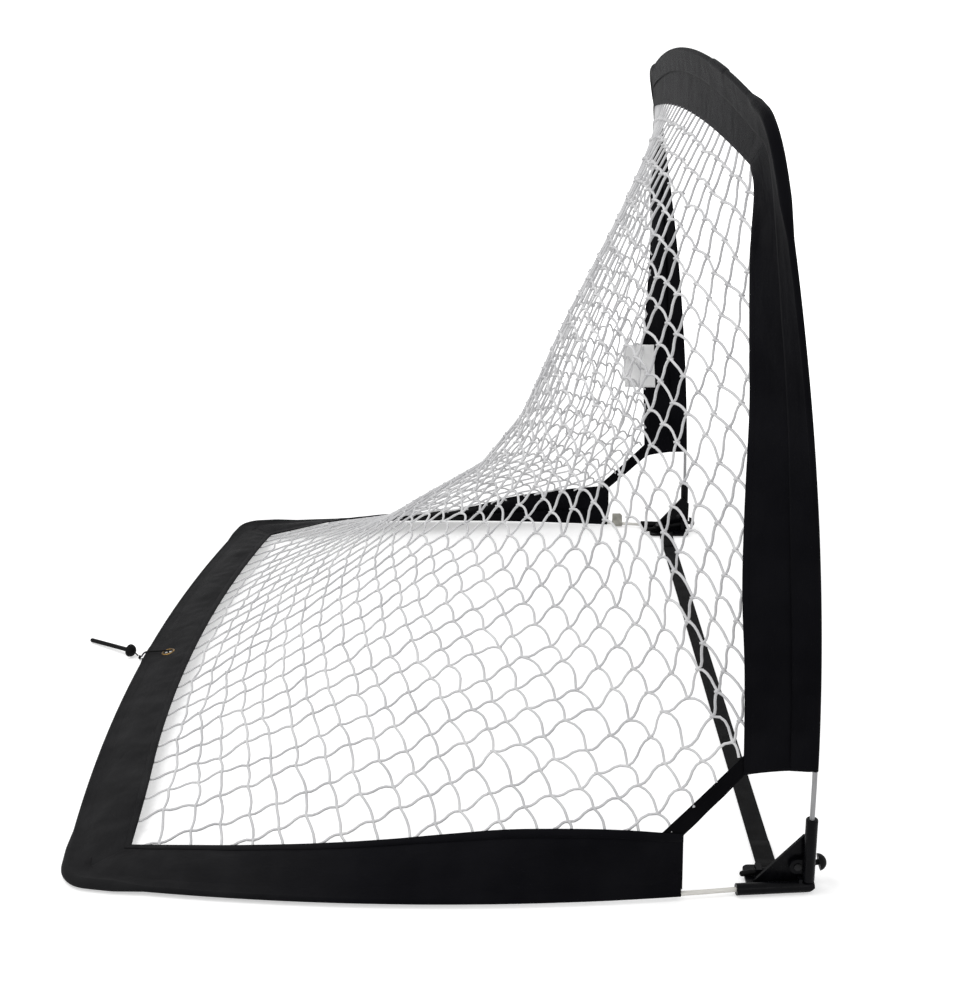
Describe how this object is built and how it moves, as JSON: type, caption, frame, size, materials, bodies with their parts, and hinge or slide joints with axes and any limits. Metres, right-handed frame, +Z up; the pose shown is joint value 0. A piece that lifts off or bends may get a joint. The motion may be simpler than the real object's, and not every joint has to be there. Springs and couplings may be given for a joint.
{
  "type": "folding hockey goal",
  "caption": "Folding hockey goal: a bent-rod mouth hoop hinged on a ground hoop at corner brackets, with cloth borders, a hanging square-mesh net, ground strap and pegs.",
  "frame": {"origin": "on the ground, under the middle of the whole goal's box", "axes": "+Z up, +Y from the mouth to the back, +X from the left upright to the right one seen from the mouth"},
  "size_m": [1.2806, 1.0924, 0.9555],
  "materials": {
    "cloth": "coated black cloth, soft sheen",
    "webbing": "woven black webbing",
    "collar": "ribbed grey webbing",
    "net": "soft white cord",
    "tag": "thin white woven tag",
    "elastic": "braided black elastic",
    "grey_rod": "satin grey glass-fibre rod",
    "pale_rod": "satin off-white glass-fibre rod",
    "ferrule": "drawn tube",
    "elbow": "moulded, matt",
    "bracket": "moulded, glossy",
    "rivet": "black, satin",
    "peg": "moulded, satin",
    "grommet": "worn brass"
  },
  "bodies": {
    "base": {"base_shoe_left": "bracket", "base_shoe_right": "bracket", "pivot_rivet_left": "rivet", "pivot_rivet_right": "rivet", "side_pole_left": "pale_rod", "side_pole_right": "pale_rod", "rear_elbow_left": "elbow", "rear_elbow_right": "elbow", "back_pole_left": "pale_rod", "back_pole_right": "pale_rod", "side_sleeve_left": "cloth", "side_sleeve_right": "cloth", "rear_corner_sleeve_left": "cloth", "rear_corner_sleeve_right": "cloth", "side_border_left": "cloth", "side_border_right": "cloth", "corner_band_left": "cloth", "corner_band_right": "cloth", "back_ferrule": "ferrule", "back_sleeve": "cloth", "back_border": "cloth", "net": "net", "ground_strap": "webbing", "rear_grommet": "grommet", "elastic": "elastic", "end_collar": "collar"},
    "mouth": {"upright_arm_left": "bracket", "upright_arm_right": "bracket", "upright_pole_left": "grey_rod", "upright_pole_right": "grey_rod", "top_elbow_left": "elbow", "top_elbow_right": "elbow", "top_pole_left": "grey_rod", "top_pole_right": "grey_rod", "upright_sleeve_left": "cloth", "upright_sleeve_right": "cloth", "top_corner_sleeve_left": "cloth", "top_corner_sleeve_right": "cloth", "upright_border_left": "cloth", "upright_border_right": "cloth", "top_ferrule": "ferrule", "top_sleeve": "cloth", "top_border": "cloth", "net_tag": "tag"},
    "ground_peg_left": {"ground_peg_left": "peg"},
    "ground_peg_right": {"ground_peg_right": "peg"},
    "spare_peg": {"spare_peg": "peg"}
  },
  "joints": [
    {"name": "mouth_fold", "type": "hinge", "parent": "base", "child": "mouth", "pos_m": [0, -0.50659, 0.033], "axis": [-1, 0, 0], "range_deg": [0, 84], "deforming": ["upright_border_left", "upright_border_right", "side_border_left", "side_border_right", "corner_band_left", "corner_band_right", "back_border", "net", "net_tag"]},
    {"name": "ground_peg_left_slide", "type": "slide", "parent": "base", "child": "ground_peg_left", "axis": [0, -0.9816, 0.1908], "range_m": [-0.008, 0.09]},
    {"name": "ground_peg_right_slide", "type": "slide", "parent": "base", "child": "ground_peg_right", "axis": [0, -0.9816, 0.1908], "range_m": [0, 0.098]},
    {"name": "spare_peg_swing", "type": "hinge", "parent": "base", "child": "spare_peg", "pos_m": [0, 0.44606, 0.0043], "axis": [0, 0, 1], "range_deg": [-40, 40]}
  ]
}
